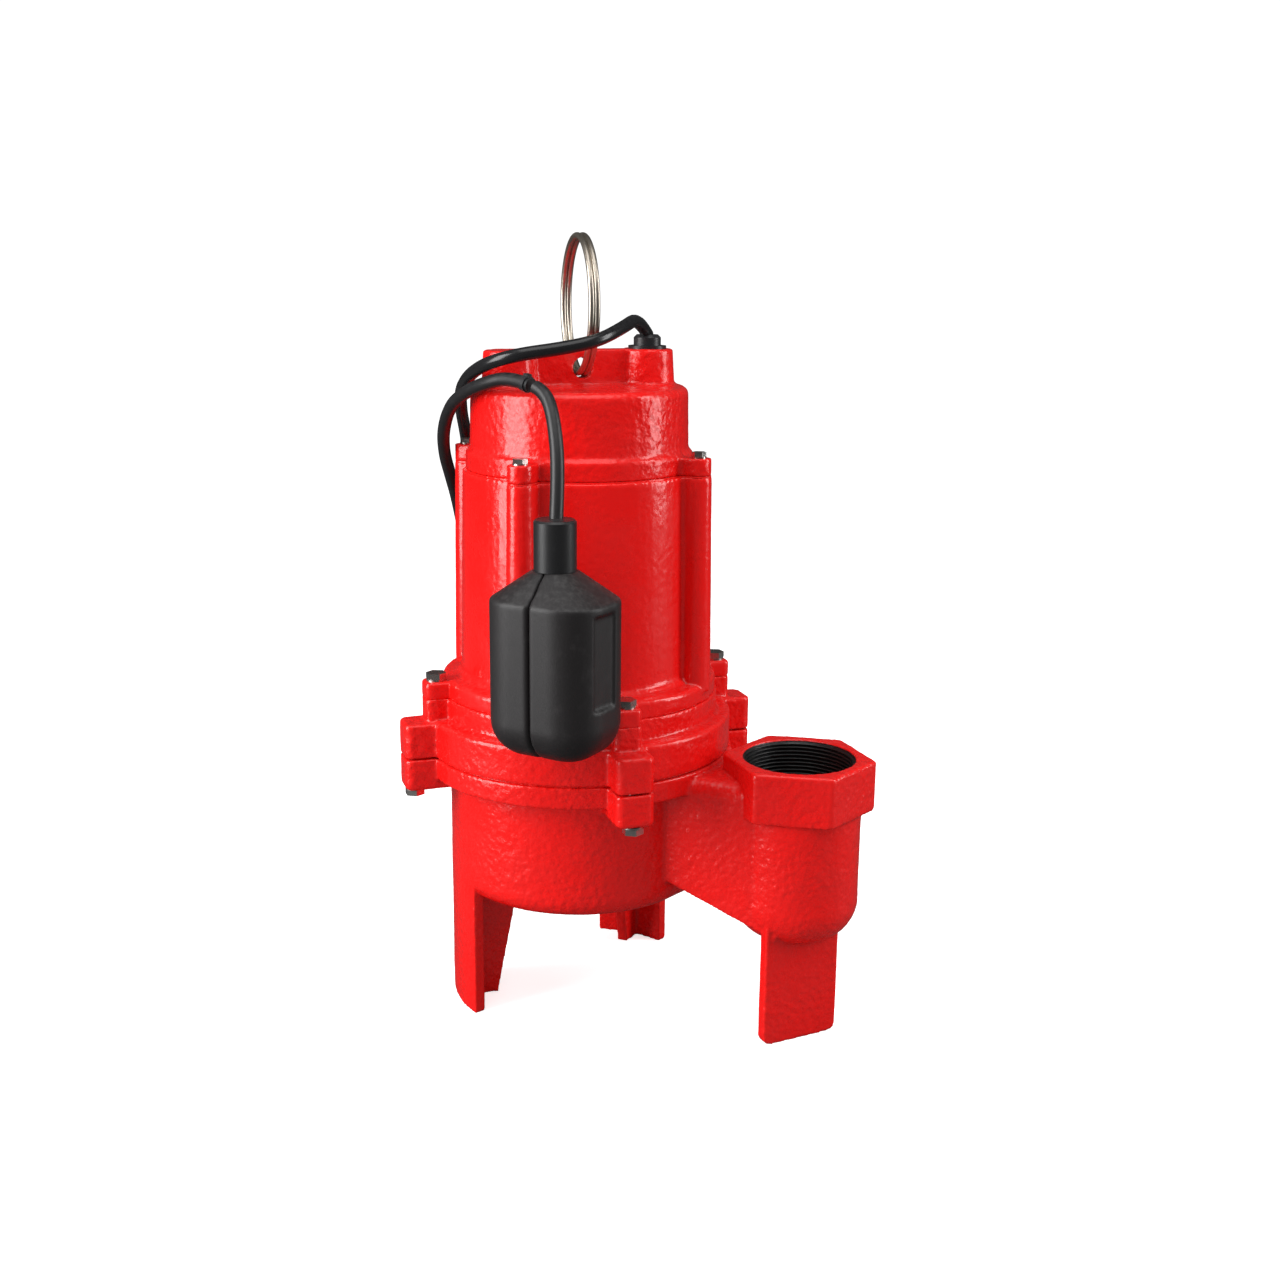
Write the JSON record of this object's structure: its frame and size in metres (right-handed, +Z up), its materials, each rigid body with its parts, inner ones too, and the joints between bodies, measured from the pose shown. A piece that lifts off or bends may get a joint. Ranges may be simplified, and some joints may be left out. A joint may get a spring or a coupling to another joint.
{
  "type": "submersible sump pump",
  "caption": "Cast-iron submersible sump pump with a hexagonal threaded vertical discharge, lift ring, tethered float switch and coiled power cords.",
  "frame": {"origin": "centre of the footprint of the pump without its cords, on the floor", "axes": "+Z up along the motor shaft, +X from the shaft towards the discharge"},
  "size_m": [0.3433, 0.3716, 0.4368],
  "materials": {
    "red_casting": "glossy enamel over rough casting",
    "zinc": "zinc plated",
    "nickel": "polished nickel",
    "steel": "machined",
    "black_nylon": "moulded",
    "black_rubber": "smooth",
    "float_plastic": "satin",
    "gasket": "matt",
    "copper_winding": "varnished",
    "core_steel": "laminated",
    "aluminium": "cast",
    "ceramic": "polished",
    "carbon": "lapped",
    "impeller_iron": "as cast",
    "brass": "plated",
    "lead_wire": "insulation"
  },
  "bodies": {
    "pump": {"volute_casing": "red_casting", "volute_gasket": "gasket", "volute_bolts": "zinc", "volute_lock_washers": "zinc", "seal_plate": "red_casting", "seal_plate_oring": "gasket", "motor_housing": "red_casting", "housing_bolts": "zinc", "housing_lock_washers": "zinc", "cap_gasket": "gasket", "motor_cap": "red_casting", "cap_screws": "zinc", "cap_lock_washers": "zinc", "gland_body": "black_nylon", "gland_nut": "black_nylon", "gland_grommet": "black_rubber", "stator_core": "core_steel", "stator_windings": "copper_winding", "lower_bearing_outer_ring": "steel", "upper_bearing_outer_ring": "steel", "bearing_bracket": "aluminium", "wave_washer": "steel", "bearing_retaining_ring": "steel", "seal_seat": "ceramic", "seal_seat_cup": "black_rubber", "capacitor": "aluminium", "capacitor_strap": "steel", "thermal_protector": "black_nylon", "motor_leads": "lead_wire", "cord_tie": "black_nylon", "power_cord": "black_rubber", "power_cord_coil": "black_rubber", "power_cord_tail": "black_rubber", "power_plug_body": "black_rubber", "power_plug_blades": "brass", "float_lead": "black_rubber", "float_lead_coil": "black_rubber", "float_lead_tail": "black_rubber", "piggyback_plug_body": "black_rubber", "piggyback_plug_blades": "brass"},
    "rotor": {"shaft": "steel", "rotor_core": "core_steel", "rotor_end_rings": "aluminium", "lower_bearing_inner_ring": "steel", "upper_bearing_inner_ring": "steel", "seal_head": "carbon", "seal_bellows": "black_rubber", "impeller": "impeller_iron", "impeller_nut": "steel"},
    "lower_ball_set": {"lower_bearing_balls": "steel", "lower_bearing_cage": "steel"},
    "upper_ball_set": {"upper_bearing_balls": "steel", "upper_bearing_cage": "steel"},
    "lift_ring": {"lift_ring": "nickel"},
    "float": {"float_shell_left": "float_plastic", "float_shell_right": "float_plastic", "float_neck_boot": "black_rubber", "float_switch_capsule": "float_plastic", "float_tether": "black_rubber"},
    "float_ball": {"float_ball": "steel"}
  },
  "joints": [
    {"name": "rotor_spin", "type": "hinge", "parent": "pump", "child": "rotor", "pos_m": [-0.04378, 0.02138, 0.2], "axis": [0, 0, 1], "continuous": true},
    {"name": "lower_ball_set_spin", "type": "hinge", "parent": "pump", "child": "lower_ball_set", "pos_m": [-0.04378, 0.02138, 0.178], "axis": [0, 0, 1], "continuous": true},
    {"name": "upper_ball_set_spin", "type": "hinge", "parent": "pump", "child": "upper_ball_set", "pos_m": [-0.04378, 0.02138, 0.3007], "axis": [0, 0, 1], "continuous": true},
    {"name": "lift_ring_tilt", "type": "hinge", "parent": "pump", "child": "lift_ring", "pos_m": [-0.04378, 0.02138, 0.365], "axis": [0.6101, -0.7923, 0], "range_deg": [0, 55]},
    {"name": "float_swing", "type": "hinge", "parent": "pump", "child": "float", "pos_m": [-0.03338, -0.05192, 0.3593], "axis": [-0.76, -0.65, 0], "range_deg": [0, 110]},
    {"name": "float_ball_roll", "type": "slide", "parent": "float", "child": "float_ball", "axis": [0, 0, 1], "range_m": [0, 0.024]}
  ],
  "couplings": [
    {"joint": "lower_ball_set_spin", "follows": "rotor_spin", "ratio": 0.387},
    {"joint": "upper_ball_set_spin", "follows": "rotor_spin", "ratio": 0.388}
  ]
}
